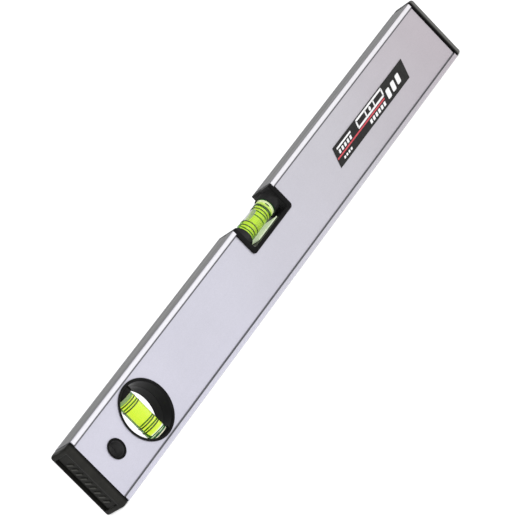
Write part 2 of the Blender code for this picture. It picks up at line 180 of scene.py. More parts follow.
# Bubbles: the curve they share with the bore, the liquid surface above the axis, and the ends.
BUBBLE_RADIUS = 5.15
BUBBLE_FLOOR = 3.3
BUBBLE_TAPER = 0.6
BUBBLE_TIP = 0.15
BUBBLE_EDGE = 0.5
BUBBLE_SHARP_ANGLE = 60.0
BUBBLE_STEPS = 20
PLUMB_BUBBLE_CORNER = 2.4
PLUMB_BUBBLE_CORNER_STEPS = 8
PLUMB_BUBBLE_STEPS = 64

# Round linings.
RING_BARREL_RADIUS = 18.2
RING_BORE_RADIUS = 17.3
WINDOW_ROUND = 0.5
HANG_BARREL_RADIUS = 5.4
HANG_BORE_RADIUS = 4.7
HANG_ROUND = 0.4
BORE_FLARE = 1.6
LIP_THICK = 0.4
LIP_CHAMFER = 0.15
LIP_ROUND = 0.3
SEAT_RADIUS = 7.3
SEAT_DEPTH = 0.45
SEAT_ROUND = 0.35
SEAT_ENDS = (-13.5, 16.4)

# Holder of the horizontal vial.
HOLDER_WALL_INSIDE = 21.0
HOLDER_FLOOR_TOP = 30.6
HOLDER_FILLET = 1.6
HOLDER_TOP = 47.8
HOLDER_CORNER = 2.6
HOLDER_LIP = 0.8
HOLDER_LIP_DROP = 3.5
HOLDER_EDGE = 0.22
COLLAR_RADIUS = 7.3
COLLAR_END = 15.0
COLLAR_ROOT = 1.0
VIAL_CLEARANCE = 0.3
STRIP_RISE = 0.25
STRIP_EDGE = (0.4, 0.7)
STRIP_ROUND = 0.12

# Label.
LABEL_SLANT = 5.8
PRINT_THICK = 0.05
PRINT_LIFT = 0.01
PRINT_ROUND = 0.35
STRIPE_THICK = 0.03


def span(node):
    """The lowest and highest corner of a CAD node, in millimetres."""
    low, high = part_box(node)
    return low / MM, high / MM


# ---------------------------------------------------------------- mesh helpers


def rectangle(left, right, low, high):
    """Corners of a rectangle, counter-clockwise from its lower left."""
    return [(left, low), (right, low), (right, high), (left, high)]


def arc(centre, radius, start, end, steps):
    """Points along an arc, angles in degrees."""
    u, v = centre
    points = []
    for step in range(steps + 1):
        angle = math.radians(start + (end - start) * step / steps)
        points.append((u + radius * math.cos(angle), v + radius * math.sin(angle)))
    return points


def softened(points, radius, closed=True, steps=FILLET_STEPS):
    """The outline with each corner turned into a short curve."""
    count = len(points)
    result = []
    for index, point in enumerate(points):
        if not closed and index in (0, count - 1):
            result.append(point)
            continue
        here = Vector(point)
        before = Vector(points[index - 1]) - here
        after = Vector(points[(index + 1) % count]) - here
        reach = min(radius, before.length * SIDE_SHARE, after.length * SIDE_SHARE)
        first = here + before.normalized() * reach
        last = here + after.normalized() * reach
        for step in range(steps + 1):
            t = step / steps
            spot = first * (1 - t) ** 2 + here * 2 * t * (1 - t) + last * t**2
            result.append((spot.x, spot.y))
    return result


def rounded_rectangle(half_u, low_v, high_v, radius):
    u = half_u - radius
    outline = arc((u, low_v + radius), radius, -90, 0, CORNER_STEPS)
    outline += arc((u, high_v - radius), radius, 0, 90, CORNER_STEPS)
    outline += arc((-u, high_v - radius), radius, 90, 180, CORNER_STEPS)
    outline += arc((-u, low_v + radius), radius, 180, 270, CORNER_STEPS)
    return outline


def loft_into(bm, rings):
    """One closed skin through rings of the same number of points, with both ends filled."""
    loops = [[bm.verts.new(point) for point in ring] for ring in rings]
    for first, second in zip(loops, loops[1:]):
        for index in range(len(first)):
            after = (index + 1) % len(first)
            bm.faces.new((first[index], first[after], second[after], second[index]))
    bm.faces.new(reversed(loops[0]))
    bm.faces.new(loops[-1])


def lathe_into(bm, profile, steps, matrix):
    """A (radius, height) outline turned about the placement's Z axis.

    The outline closes on the axis or on itself.
    """
    rings = []
    for radius, height in profile:
        spots = 1 if radius < AXIS else steps
        turns = [math.tau * index / steps for index in range(spots)]
        ring = [Vector((radius * math.cos(a), radius * math.sin(a), height)) for a in turns]
        rings.append([bm.verts.new(matrix @ spot) for spot in ring])
    on_axis = len(rings[0]) == 1 and len(rings[-1]) == 1
    following = rings[1:] if on_axis else rings[1:] + rings[:1]
    for low, high in zip(rings, following):
        for index in range(steps):
            after = (index + 1) % steps
            corners = [low[index % len(low)], low[after % len(low)]]
            corners += [high[after % len(high)], high[index % len(high)]]
            kept = list(dict.fromkeys(corners))
            if len(kept) > 2:
                bm.faces.new(kept)


def piece(name, bm, material, sharp=SHARP_ANGLE):
    """A new object in the frame's coordinates, from a bmesh in millimetres."""
    bmesh.ops.recalc_face_normals(bm, faces=bm.faces)
    bmesh.ops.scale(bm, vec=(MM, MM, MM), verts=bm.verts)
    mesh = bpy.data.meshes.new(name)
    bm.to_mesh(mesh)
    bm.free()
    mesh.shade_smooth()
    mesh.set_sharp_from_angle(angle=math.radians(sharp))
    if material:
        mesh.materials.append(material)
    obj = bpy.data.objects.new(name, mesh)
    bpy.context.scene.collection.objects.link(obj)
    return obj


def prism(name, outline, place, low, high, material=None):
    """An outline of (u, v) points, extruded: place(u, v, depth) gives x, y, z."""
    bm = bmesh.new()
    loft_into(bm, [[place(u, v, depth) for u, v in outline] for depth in (low, high)])
    return piece(name, bm, material)


def along_x(y, z, depth):
    return (depth, y, z)


def along_y(x, z, depth):
    return (x, depth, z)


def turned(name, profile, matrix, material=None, steps=ROUND_STEPS):
    bm = bmesh.new()
    lathe_into(bm, profile, steps, matrix)
    return piece(name, bm, material)


def frame_at(centre, axis):
    """A placement whose local Z points along the given direction."""
    turn = Vector((0, 0, 1)).rotation_difference(Vector(axis)).to_matrix().to_4x4()
    return Matrix.Translation(Vector(centre)) @ turn


def block(name, low, high):
    outline = rectangle(low[0], high[0], low[1], high[1])
    bm = bmesh.new()
    loft_into(bm, [[(x, y, z) for x, y in outline] for z in (low[2], high[2])])
    return piece(name, bm, None)


def boolean(target, tool, operation="DIFFERENCE"):
    step = target.modifiers.new(tool.name, "BOOLEAN")
    step.operation = operation
    step.object = tool
    step.solver = "EXACT"
    return tool


def bevelled(obj, width):
    step = obj.modifiers.new("soft edges", "BEVEL")
    step.width = width * MM
    step.segments = EDGE_SEGMENTS
    step.limit_method = "ANGLE"
    step.angle_limit = math.radians(SHARP_ANGLE)
    step.harden_normals = False


def settled(obj, tools=()):
    """Bakes the modifiers into the mesh, takes the cutters away and sets the shading."""
    graph = bpy.context.evaluated_depsgraph_get()
    mesh = bpy.data.meshes.new_from_object(obj.evaluated_get(graph), depsgraph=graph)
    obj.modifiers.clear()
    obj.data = mesh
    mesh.shade_smooth()
    mesh.set_sharp_from_angle(angle=math.radians(SHARP_ANGLE))
    for tool in tools:
        bpy.data.objects.remove(tool, do_unlink=True)
    return obj


def stands_for(obj, slot, *nodes, body=BODY):
    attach(obj, body)
    if nodes:
        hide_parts(*nodes)
    return obj


# ------------------------------------------------------------ material helpers


class Finish:
    """A Principled material put together from procedural nodes in the frame's coordinates."""

    def __init__(self, name, colour, roughness, **settings):
        self.material = bpy.data.materials.new(name)
        self.material.use_nodes = True
        self.tree = self.material.node_tree
        self.shader = self.tree.nodes["Principled BSDF"]
        self.put("Base Color", (*colour, 1.0))
        self.put("Roughness", roughness)
        for socket, value in settings.items():
            self.put(socket.replace("_", " "), value)
        self.coords = self.node("ShaderNodeTexCoord").outputs["Object"]
        self.normal = None

    def absorb(self, colour, density):
        """Takes light away inside the piece, the more of it the longer the way through."""
        made = self.node("ShaderNodeVolumeAbsorption")
        made.inputs["Color"].default_value = (*colour, 1.0)
        made.inputs["Density"].default_value = density
        output = self.tree.nodes["Material Output"]
        self.tree.links.new(made.outputs["Volume"], output.inputs["Volume"])

    def put(self, socket, value):
        self.shader.inputs[socket].default_value = value

    def node(self, kind, **settings):
        made = self.tree.nodes.new(kind)
        for key, value in settings.items():
            setattr(made, key, value)
        return made

    def link(self, source, target):
        if hasattr(source, "links"):
            self.tree.links.new(source, target)
        else:
            target.default_value = source

    def drive(self, socket, source):
        self.tree.links.new(source, self.shader.inputs[socket])

    def stretched(self, factors):
        mapping = self.node("ShaderNodeMapping")
        mapping.inputs["Scale"].default_value = factors
        self.link(self.coords, mapping.inputs["Vector"])
        return mapping.outputs["Vector"]

    def noise(self, scale, detail, stretch=None, rough=0.5):
        """Noise with that many features per metre."""
        made = self.node("ShaderNodeTexNoise")
        made.inputs["Scale"].default_value = scale
        made.inputs["Detail"].default_value = detail
        made.inputs["Roughness"].default_value = rough
        source = self.stretched(stretch) if stretch else self.coords
        self.link(source, made.inputs["Vector"])
        return made.outputs["Fac"]

    def cells(self, scale):
        made = self.node("ShaderNodeTexVoronoi")
        made.inputs["Scale"].default_value = scale
        self.link(self.coords, made.inputs["Vector"])
        return made.outputs["Distance"]

    def axis(self, name):
        made = self.node("ShaderNodeSeparateXYZ")
        self.link(self.coords, made.inputs["Vector"])
        return made.outputs[name]

    def maths(self, operation, first, second=0.0):
        made = self.node("ShaderNodeMath", operation=operation)
        self.link(first, made.inputs[0])
        self.link(second, made.inputs[1])
        return made.outputs[0]

    def off_middle(self, name):
        """How far a point is from the frame's zero along an axis, on either side."""
        return self.maths("ABSOLUTE", self.axis(name))

    def spread(self, value, low, high, to_low=0.0, to_high=1.0):
        made = self.node("ShaderNodeMapRange")
        self.link(value, made.inputs["Value"])
        for socket, number in (("From Min", low), ("From Max", high)):
            made.inputs[socket].default_value = number
        for socket, number in (("To Min", to_low), ("To Max", to_high)):
            made.inputs[socket].default_value = number
        return made.outputs["Result"]

    def ramp(self, value, *stops):
        """Colours along a value, from (position, colour) pairs."""
        made = self.node("ShaderNodeValToRGB")
        band = made.color_ramp
        while len(band.elements) < len(stops):
            band.elements.new(0.5)
        for element, (position, colour) in zip(band.elements, stops):
            element.position = position
            element.color = (*colour, 1.0)
        self.link(value, made.inputs["Fac"])
        return made.outputs["Color"]

    def mottle(self, noise, first, second):
        """Two colours mixed by a noise."""
        return self.ramp(noise, (NOISE[0], first), (NOISE[1], second))

    def blend(self, factor, first, second, mode="MIX"):
        made = self.node("ShaderNodeMix", data_type="RGBA", blend_type=mode)
        self.link(factor, made.inputs[0])
        self.link(first, made.inputs[6])
        self.link(second, made.inputs[7])
        return made.outputs[2]

    def bump(self, height, strength, depth):
        """Bump of that depth in millimetres, on top of any bump before it."""
        made = self.node("ShaderNodeBump")
        made.inputs["Strength"].default_value = strength
        made.inputs["Distance"].default_value = depth * MM
        self.link(height, made.inputs["Height"])
        if self.normal is not None:
            self.link(self.normal, made.inputs["Normal"])
        self.normal = made.outputs["Normal"]
        self.tree.links.new(self.normal, self.shader.inputs["Normal"])


def grey(value):
    return (value, value, value)


def band_mask(finish, value, middle, half, edge):
    """1 within half of the middle, fading to 0 over the edge."""
    away = finish.maths("ABSOLUTE", finish.maths("SUBTRACT", value, middle))
    return finish.spread(away, half, half + edge, 1.0, 0.0)


def silver_paint():
    """Silver coating with painted shade toward the far end and in the grooves, a painted
    highlight on the upper rim, and grey milled edges that are partly painted shade.
    """
    finish = Finish("silver_body", (0.6, 0.6, 0.65), 0.42, Metallic=0.35)
    # Painted shade: the colour darkens from the near end toward the far end, standing in for the
    # light falling off along the body.
    along = finish.spread(finish.axis("X"), *BODY_ENDS)
    drift = finish.noise(6.0, 1.0)
    place = finish.maths("ADD", along, finish.spread(drift, *NOISE, -0.06, 0.06))
    tint = finish.ramp(
        place,
        (0.0, (0.615, 0.606, 0.695)),
        (0.35, (0.600, 0.592, 0.668)),
        (0.7, (0.545, 0.530, 0.570)),
        (1.0, (0.492, 0.450, 0.484)),
    )
    cloud = finish.noise(38.0, 3.0)
    tint = finish.blend(1.0, tint, finish.mottle(cloud, grey(0.965), grey(1.0)), "MULTIPLY")
    flake = finish.noise(2600.0, 1.0)
    tint = finish.blend(1.0, tint, finish.mottle(flake, grey(0.93), grey(1.0)), "MULTIPLY")
    height = finish.axis("Z")
    across = finish.off_middle("Y")
    mid = 0.5 * (cad_low.z + cad_high.z)
    rim = finish.spread(across, *RIM_FACE)
    # Painted highlight: the face of the upper rim is painted lighter, as the light falls on it.
    upper_rim_highlight = finish.maths("MULTIPLY", rim, finish.maths("GREATER_THAN", height, mid))
    tint = finish.blend(finish.maths("MULTIPLY", upper_rim_highlight, 0.75), tint, (0.88, 0.87, 0.90, 1.0))
    # Painted shade: a dark band along each groove is painted dark, and so are the groove floors
    # and everything set deeper than the face.
    from_mid = finish.maths("ABSOLUTE", finish.maths("SUBTRACT", height, mid))
    groove_shade = band_mask(finish, from_mid, *GROOVE_BAND)
    inner = finish.spread(across, *GROOVE_FLOOR, 1.0, 0.0)
    groove_shade = finish.maths("MAXIMUM", groove_shade, inner)
    tint = finish.blend(finish.maths("MULTIPLY", groove_shade, 0.8), tint, (0.10, 0.10, 0.11, 1.0))
    # Faces turned up or down: bare milled metal, painted a darker grey that is partly painted
    # shade, for the top face lying darker than the front.
    facing = finish.node("ShaderNodeSeparateXYZ")
    finish.link(finish.node("ShaderNodeTexCoord").outputs["Normal"], facing.inputs["Vector"])
    milled_and_shaded = finish.spread(finish.maths("ABSOLUTE", facing.outputs["Z"]), *MILLED_FACING)
    cuts = finish.noise(700.0, 2.0, (1.0, 0.03, 0.03))
    bare_and_shaded = finish.mottle(cuts, grey(0.205), (0.262, 0.262, 0.264))
    finish.drive("Base Color", finish.blend(milled_and_shaded, tint, bare_and_shaded))
    grain = finish.noise(240.0, 3.0, (0.02, 1.0, 6.0))
    finish.drive("Roughness", finish.spread(grain, *NOISE, 0.36, 0.50))
    finish.bump(grain, 0.25, 0.02)
    finish.bump(flake, 0.12, 0.01)
    return finish.material


def moulded_black(name, colour, scuffed):
    """Black plastic with a fine spark-eroded grain, dull scuffs and a trace of flow marks."""
    finish = Finish(name, colour, 0.34, Specular_IOR_Level=0.07)
    scuffs = finish.noise(160.0, 4.0, None, 0.6)
    finish.drive("Base Color", finish.ramp(scuffs, (0.35, colour), (0.75, scuffed)))
    finish.drive("Roughness", finish.spread(scuffs, *NOISE, 0.28, 0.44))
    finish.bump(finish.cells(1500.0), 0.35, 0.05)
    finish.bump(finish.noise(90.0, 2.0), 0.15, 0.08)
    return finish


def black_with_painted_shading(name, inside, scuffed, face):
    """The same plastic on pieces set into the body, painted lighter inside against the shade of
    the hollows, with outer faces painted darker as shade.
    """
    finish = moulded_black(name, inside, scuffed)
    plain = finish.shader.inputs["Base Color"].links[0].from_socket
    # Painted light and shade: the inside colour is lighter than the plastic looks in its hollows,
    # and the outer face is painted darker.
    outer = finish.spread(finish.off_middle("Y"), *SET_IN_FACE)
    finish.drive("Base Color", finish.blend(outer, plain, (*face, 1.0)))
    return finish.material


def cap_black(name):
    """The same plastic on the caps: painted highlights on the rib tops, a painted sheen on the
    rim that is stronger on the far cap, and painted shade beside the tube."""
    finish = moulded_black(name, (0.009, 0.009, 0.008), (0.018, 0.018, 0.015))
    plain = finish.shader.inputs["Base Color"].links[0].from_socket
    along = finish.off_middle("X")
    # Painted highlight: the tops of the ribs are painted lighter, as if lit.
    rib_highlight_mask = band_mask(finish, along, *RIB_TOP_BAND)
    beside = finish.maths("SUBTRACT", finish.axis("Y"), RIB_MIDDLE_Y * MM)
    beside = finish.maths("ABSOLUTE", beside)
    rib_highlight_mask = finish.maths("MULTIPLY", rib_highlight_mask, finish.spread(beside, *RIB_SIDES, 1.0, 0.0))
    rib_highlight_mask = finish.maths("MULTIPLY", rib_highlight_mask, 0.8)
    rib_highlighted = finish.blend(rib_highlight_mask, plain, (0.060, 0.060, 0.054, 1.0))
    # Painted reflection: a lighter band on the rounded rim, strongest on the far cap, where light
    # is reflected from the rim.
    rim = finish.maths(
        "MULTIPLY",
        finish.spread(along, *CAP_SHEEN_ALONG),
        finish.spread(finish.off_middle("Y"), *CAP_SHEEN_ACROSS),
    )
    far_cap = finish.spread(finish.axis("X"), *CAP_SHEEN_SIDES, 0.08, 1.0)
    rim = finish.maths("MULTIPLY", rim, far_cap)
    rim_sheened = finish.blend(finish.maths("MULTIPLY", rim, 0.8), rib_highlighted, (0.170, 0.170, 0.160, 1.0))
    shade = finish.spread(along, *CAP_SHADE, 1.0, 0.0)
    finish.drive("Base Color", finish.blend(shade, rim_sheened, (0.001, 0.001, 0.001, 1.0)))
    finish.drive("Roughness", finish.spread(rim, 0.0, 1.0, 0.32, 0.18))
    return finish.material


def printed(name, colour, second, roughness, gloss=0.5, painted_glow=0.0):
    """Printed or moulded colour: faint mottling, a soft gloss and any painted glow, standing in
    for light through it.
    """
    finish = Finish(name, colour, roughness, Specular_IOR_Level=gloss)
    # Painted light: a glow of the given strength, though the piece is no lamp.
    finish.put("Emission Color", (*colour, 1.0))
    finish.put("Emission Strength", painted_glow)
    speckle = finish.noise(420.0, 3.0)
    finish.drive("Base Color", finish.mottle(speckle, colour, second))
    dull = finish.spread(speckle, *NOISE, roughness - 0.05, roughness + 0.08)
    finish.drive("Roughness", dull)
    finish.bump(finish.noise(1800.0, 2.0), 0.08, 0.01)
    return finish.material


def clear_plastic():
    """Polished acrylic barrel with faint flow lines along it."""
    colour = (0.97, 0.99, 0.93)
    finish = Finish("clear_acrylic", colour, 0.02, Transmission_Weight=1.0, IOR=ACRYLIC_IOR)
    finish.put("Specular Tint", (0.4, 0.4, 0.4, 1.0))
    flow = finish.noise(60.0, 2.0)
    finish.drive("Roughness", finish.spread(flow, *NOISE, 0.01, 0.05))
    finish.bump(flow, 0.05, 0.05)
    return finish.material


def spirit(name, passed):
    """Fluorescent liquid, matched to the barrel round it so that only its colour shows."""
    finish = Finish(name, (0.96, 0.99, 0.80), 0.0, Transmission_Weight=0.97, IOR=1.0)
    swirl = finish.noise(70.0, 2.0)
    finish.drive("Base Color", finish.mottle(swirl, (0.93, 0.98, 0.70), (0.98, 1.0, 0.78)))
    finish.put("Emission Color", (0.12, 0.80, 0.10, 1.0))
    finish.put("Emission Strength", 0.06)
    finish.absorb(passed, SPIRIT_DENSITY)
    return finish.material


def air_look(name, dim, bright, painted_glow_colour):
    """Air in the liquid: a skin that bends light the other way from glass, faintly rippled, under
    a painted glow.
    """
    finish = Finish(name, bright, 0.02)
    glass = finish.node("ShaderNodeBsdfGlass")
    glass.inputs["IOR"].default_value = AIR_IOR
    ripple = finish.noise(220.0, 1.0)
    finish.link(finish.mottle(ripple, dim, bright), glass.inputs["Color"])
    finish.link(finish.spread(ripple, *NOISE, 0.0, 0.06), glass.inputs["Roughness"])
    # Painted light: a faint glow added over the bubble.
    painted_glow_shader = finish.node("ShaderNodeEmission")
    painted_glow_shader.inputs["Color"].default_value = (*painted_glow_colour, 1.0)
    both = finish.node("ShaderNodeAddShader")
    finish.link(glass.outputs["BSDF"], both.inputs[0])
    finish.link(painted_glow_shader.outputs["Emission"], both.inputs[1])
    finish.link(both.outputs["Shader"], finish.tree.nodes["Material Output"].inputs["Surface"])
    finish.tree.nodes.remove(finish.shader)
    return finish.material


def build_materials():
    # The third colour of each bubble is its painted glow.
    level_air = ((0.60, 0.58, 0.68), (0.68, 0.66, 0.76), (0.17, 0.19, 0.15))
    plumb_air = ((0.46, 0.44, 0.54), (0.52, 0.50, 0.60), (0.13, 0.16, 0.12))
    label = ((0.012, 0.012, 0.011), (0.022, 0.022, 0.021))
    return {
        "silver": silver_paint(),
        "cap": cap_black("black_cap"),
        # Holder and bush: the first two colours are the inside, painted light; the last is the
        # outer face, painted darker.
        "black": black_with_painted_shading("black_plastic", grey(0.018), grey(0.030), grey(0.005)),
        "lining": moulded_black("black_lining", grey(0.005), grey(0.010)).material,
        "bush": black_with_painted_shading("black_bush", grey(0.052), grey(0.080), grey(0.004)),
        "clear": clear_plastic(),
        "level_spirit": spirit("level_spirit", (0.80, 0.885, 0.06)),
        "plumb_spirit": spirit("plumb_spirit", (0.872, 0.922, 0.05)),
        "level_air": air_look("level_air", *level_air),
        "plumb_air": air_look("plumb_air", *plumb_air),
        # The plug, the seal and the pale strip get a painted glow.
        "plug": printed("cream_plug", (0.90, 0.88, 0.66), (0.94, 0.91, 0.74), 0.35, painted_glow=0.55),
        "seal": printed("seal_green", (0.012, 0.10, 0.030), (0.03, 0.15, 0.05), 0.4, painted_glow=0.6),
        "line": printed("dark_line", (0.030, 0.050, 0.010), (0.06, 0.09, 0.02), 0.45),
        "pale": printed("pale_strip", (0.72, 0.84, 0.56), (0.86, 0.93, 0.74), 0.4, painted_glow=0.22),
        "label": printed("label_black", *label, 0.4, 0.16),
        "white": printed("label_white", grey(0.84), grey(0.92), 0.35),
        "red": printed("label_red", (0.55, 0.035, 0.06), (0.66, 0.06, 0.08), 0.35),
    }


# ---------------------------------------------------------------------- pieces


def cap_ring(x, inset, radius, height, half_thick):
    outline = rounded_rectangle(half_thick - inset, inset, height - inset, radius)
    return [(x, y, z) for y, z in outline]


def end_cap(node, name, side, material):
    """Cap with a rounded rim, a recessed panel with slanted ribs, and a slot beside them."""
    low, high = span(node)
    height = high.z
    half = high.y
    outer = max(abs(low.x), abs(high.x))
    inner = outer - CAP_LENGTH + GAP
    spigot = min(abs(low.x), abs(high.x))
    panel = CAP_ROUND_SIDE + CAP_FRAME
    # Rings of (x, inset, corner), from the panel's floor over the rim to inside the spigot.
    steps = [(outer - CAP_RECESS, panel + GAP, PANEL_CORNER)]
    steps += [(outer - depth, panel + past, corner) for depth, past, corner in PANEL_EDGE]
    for along, across in arc((0, 0), 1.0, 0, 90, CAP_ROUND_STEPS):
        inset = CAP_ROUND_SIDE * (1 - across)
        steps.append((outer - CAP_ROUND_LONG * (1 - along), inset, CAP_CORNER - inset))
    steps += [
        (inner + CAP_GROOVE + CAP_GROOVE_SLOPE, 0.0, CAP_CORNER),
        (inner + CAP_GROOVE, CAP_GROOVE_DEPTH, CAP_CORNER - CAP_GROOVE_DEPTH),
        (inner, CAP_GROOVE_DEPTH, CAP_CORNER - CAP_GROOVE_DEPTH),
        (inner, SPIGOT_INSET, SPIGOT_CORNER),
        (spigot + SPIGOT_CHAMFER, SPIGOT_INSET, SPIGOT_CORNER),
        (spigot, SPIGOT_INSET + SPIGOT_CHAMFER, SPIGOT_END_CORNER),
        (spigot, SPIGOT_INSET + SPIGOT_WALL, SPIGOT_INNER_CORNER),
        (inner + CAP_FLOOR, SPIGOT_INSET + SPIGOT_WALL, SPIGOT_INNER_CORNER),
    ]
    bm = bmesh.new()
    loft_into(bm, [cap_ring(side * x, inset, r, height, half) for x, inset, r in steps])
    cap = piece(name, bm, material)
    near, far = sorted((side * (outer - SLOT_DEPTH), side * (outer + GAP)))
    slot_low = (near, SLOT_BACK_SIDE[0], panel + GAP)
    slot_high = (far, SLOT_BACK_SIDE[1], height - panel - GAP)
    tools = [boolean(cap, block(f"{name}_slot", slot_low, slot_high))]
    for index in range(RIB_COUNT):
        rib = panel_rib(f"{name}_rib_{index}", side, outer - CAP_RECESS, index)
        tools.append(boolean(cap, rib, "UNION"))
    return stands_for(settled(cap, tools), "black_plastic", node)


def panel_rib(name, side, floor, index):
    middle = RIB_MIDDLE_Z + (index - (RIB_COUNT - 1) / 2) * RIB_PITCH
    near = RIB_MIDDLE_Y - RIB_REACH
    far = RIB_MIDDLE_Y + RIB_REACH
    outline = [
        (near, middle - RIB_SLANT - RIB_HALF_WIDTH),
        (far, middle + RIB_SLANT - RIB_HALF_WIDTH),
        (far, middle + RIB_SLANT + RIB_HALF_WIDTH),
        (near, middle - RIB_SLANT + RIB_HALF_WIDTH),
    ]
    ends = sorted((side * (floor - RIB_ROOT), side * (floor + RIB_HEIGHT)))
    rib = prism(name, softened(outline, RIB_ROUND), along_x, *ends)
    bevelled(rib, RIB_EDGE)
    return settled(rib)


def lining(node, name, side, bore, barrel, soft, material, vial=None):
    """Half of a round lining: a thin barrel with a rounded lip, and the seats of any vial."""
    low, high = span(node)
    centre = ((low.x + high.x) / 2, 0.0, (low.z + high.z) / 2)
    lip = (high.x - low.x) / 2
    outside = max(abs(low.y), abs(high.y))
    inside = outside - LIP_THICK
    joint = -SEAT_DEPTH if vial else GAP / 2
    profile = [
        (bore, joint),
        (barrel, joint),
        (barrel, inside),
        (lip, inside),
        (lip, outside - LIP_CHAMFER),
        (lip - LIP_CHAMFER, outside),
        (bore + soft * BORE_FLARE, outside),
        (bore, outside - soft * BORE_FLARE),
    ]
    profile = profile[:3] + softened(profile[3:], LIP_ROUND)
    place = frame_at(centre, (0, side, 0))
    ring = turned(name, profile, place, material, WINDOW_STEPS)
    if vial:
        tools = []
        for station in SEAT_ENDS:
            seat = turned(f"{name}_seat", seat_profile(station), vial.matrix)
            outline = rectangle(0.0, bore + SEAT_DEPTH, -CUT_DEPTH, CUT_DEPTH)
            trim = turned(f"{name}_trim", outline, place, steps=WINDOW_STEPS)
            boolean(seat, trim, "INTERSECT")
            tools.append(boolean(ring, settled(seat, [trim]), "UNION"))
        near, far = sorted((side * GAP / 2, -side * CUT_DEPTH))
        first = (low.x - CUT_MARGIN, near, -CUT_MARGIN)
        last = (high.x + CUT_MARGIN, far, CUT_TOP)
        tools.append(boolean(ring, block(f"{name}_half", first, last)))
        tools.append(boolean(ring, vial_hole(f"{name}_hole", vial)))
        settled(ring, tools)
    return stands_for(ring, "black_plastic", node)


def seat_profile(station):
    """A boss round the vial from that station outward, with a soft inner rim."""
    outline = rectangle(0.0, SEAT_RADIUS, station, math.copysign(CUT_DEPTH, station))
    return softened(outline[:3], SEAT_ROUND, False) + outline[3:]


def vial_hole(name, vial):
    reach = vial.half + VIAL_CLEARANCE
    profile = rectangle(0.0, vial.radius + VIAL_CLEARANCE, -reach, reach)
    return turned(name, profile, vial.matrix)


class Vial:
    """Where a vial is, taken from its CAD tube: middle, direction toward the plug, sizes."""

    def __init__(self, prefix, axis):
        low, high = span(f"{prefix}_vial_tube")
        self.prefix = prefix
        self.axis = Vector(axis)
        self.centre = (low + high) / 2
        self.matrix = frame_at(self.centre, axis)
        size = high - low
        self.half = max(size) / 2
        self.radius = min(size) / 2

    def station(self, node):
        """How far a CAD node's middle is along the bore."""
        low, high = span(node)
        return ((low + high) / 2 - self.centre).dot(self.axis)


def build_vial(vial, looks):
    """Barrel, liquid, seal, bung, pin and lines of one vial."""
    prefix = vial.prefix
    matrix = vial.matrix
    radius = vial.radius
    outline = softened(rectangle(0.0, radius, -vial.half, vial.half), BARREL_ROUND, False)
    barrel = turned(f"{prefix}_barrel", outline, matrix, looks["clear"])
    stands_for(barrel, "clear_acrylic", f"{prefix}_vial_tube")
    outline = softened(rectangle(0.0, SPIRIT_RADIUS, *SPIRIT_ENDS), SPIRIT_ROUND, False)
    liquid = turned(f"{prefix}_spirit", outline, matrix, looks[f"{prefix}_spirit"])
    stands_for(liquid, "yellow_green_spirit", f"{prefix}_fluid")
    outline = softened(rectangle(*SEAL_RADII, *SEAL_ENDS), SEAL_ROUND)
    seal = turned(f"{prefix}_seal", outline, matrix, looks["seal"])
    stands_for(seal, "dark_line")
    top = vial.half - PLUG_SET_BACK
    outline = softened(rectangle(0.0, PLUG_RADIUS, PLUG_FACE, top), PLUG_ROUND, False)
    plug = turned(f"{prefix}_bung", outline, matrix, looks["plug"])
    stands_for(plug, "cream_plug", f"{prefix}_vial_plug")
    outline = rectangle(0.0, PIN_RADIUS, PLUG_FACE - PIN_SUNK, top + PIN_PROUD)
    pin = turned(f"{prefix}_pin", softened(outline, PIN_ROUND, False), matrix, looks["black"])
    stands_for(pin, "black_plastic", f"{prefix}_fill_pin")
    for number in range(1, LINE_COUNT + 1):
        node = f"{prefix}_vial_line_{number}"
        middle = vial.station(node)
        low, high = middle - LINE_WIDTH / 2, middle + LINE_WIDTH / 2
        outline = rectangle(radius + LINE_CLEAR, radius + LINE_PROUD, low, high)
        name = f"{prefix}_ring_{number}"
        ring = turned(name, softened(outline, LINE_ROUND), matrix, looks["line"])
        stands_for(ring, "dark_line", node)


def level_bubble(vial, material):
    """The shallow bubble that lies along the top of the horizontal vial, with tapered ends."""
    low, high = span("level_bubble")
    middle = (low.x + high.x) / 2
    half = (high.x - low.x) / 2
    bm = bmesh.new()
    rings = []
    for step in range(BUBBLE_STEPS + 1):
        turn = math.pi * (step + BUBBLE_TIP) / (BUBBLE_STEPS + 2 * BUBBLE_TIP)
        fullness = math.sin(turn) ** BUBBLE_TAPER
        floor = BUBBLE_RADIUS - (BUBBLE_RADIUS - BUBBLE_FLOOR) * fullness
        edge = math.degrees(math.asin(floor / BUBBLE_RADIUS))
        outline = arc((0, 0), BUBBLE_RADIUS, edge, 180 - edge, BUBBLE_STEPS)
        x = middle - half * math.cos(turn)
        outline = softened(outline, BUBBLE_EDGE)
        rings.append([(x, vial.centre.y + y, vial.centre.z + z) for y, z in outline])
    loft_into(bm, rings)
    obj = piece("level_air", bm, material, BUBBLE_SHARP_ANGLE)
    return stands_for(obj, "air", "level_bubble", body="level_bubble_body")


def plumb_bubble(vial, material):
    """The short bubble that fills the upper end of the upright vial."""
    low, high = span("plumb_bubble")
    half = (high.z - low.z) / 2
    centre = (vial.centre.x, vial.centre.y, (low.z + high.z) / 2)
    outline = rectangle(0.0, BUBBLE_RADIUS, -half, half)
    profile = softened(outline, PLUMB_BUBBLE_CORNER, False, PLUMB_BUBBLE_CORNER_STEPS)
    place = frame_at(centre, (0, 0, 1))
    obj = turned("plumb_air", profile, place, material, PLUMB_BUBBLE_STEPS)
    return stands_for(obj, "air", "plumb_bubble", body="plumb_bubble_body")


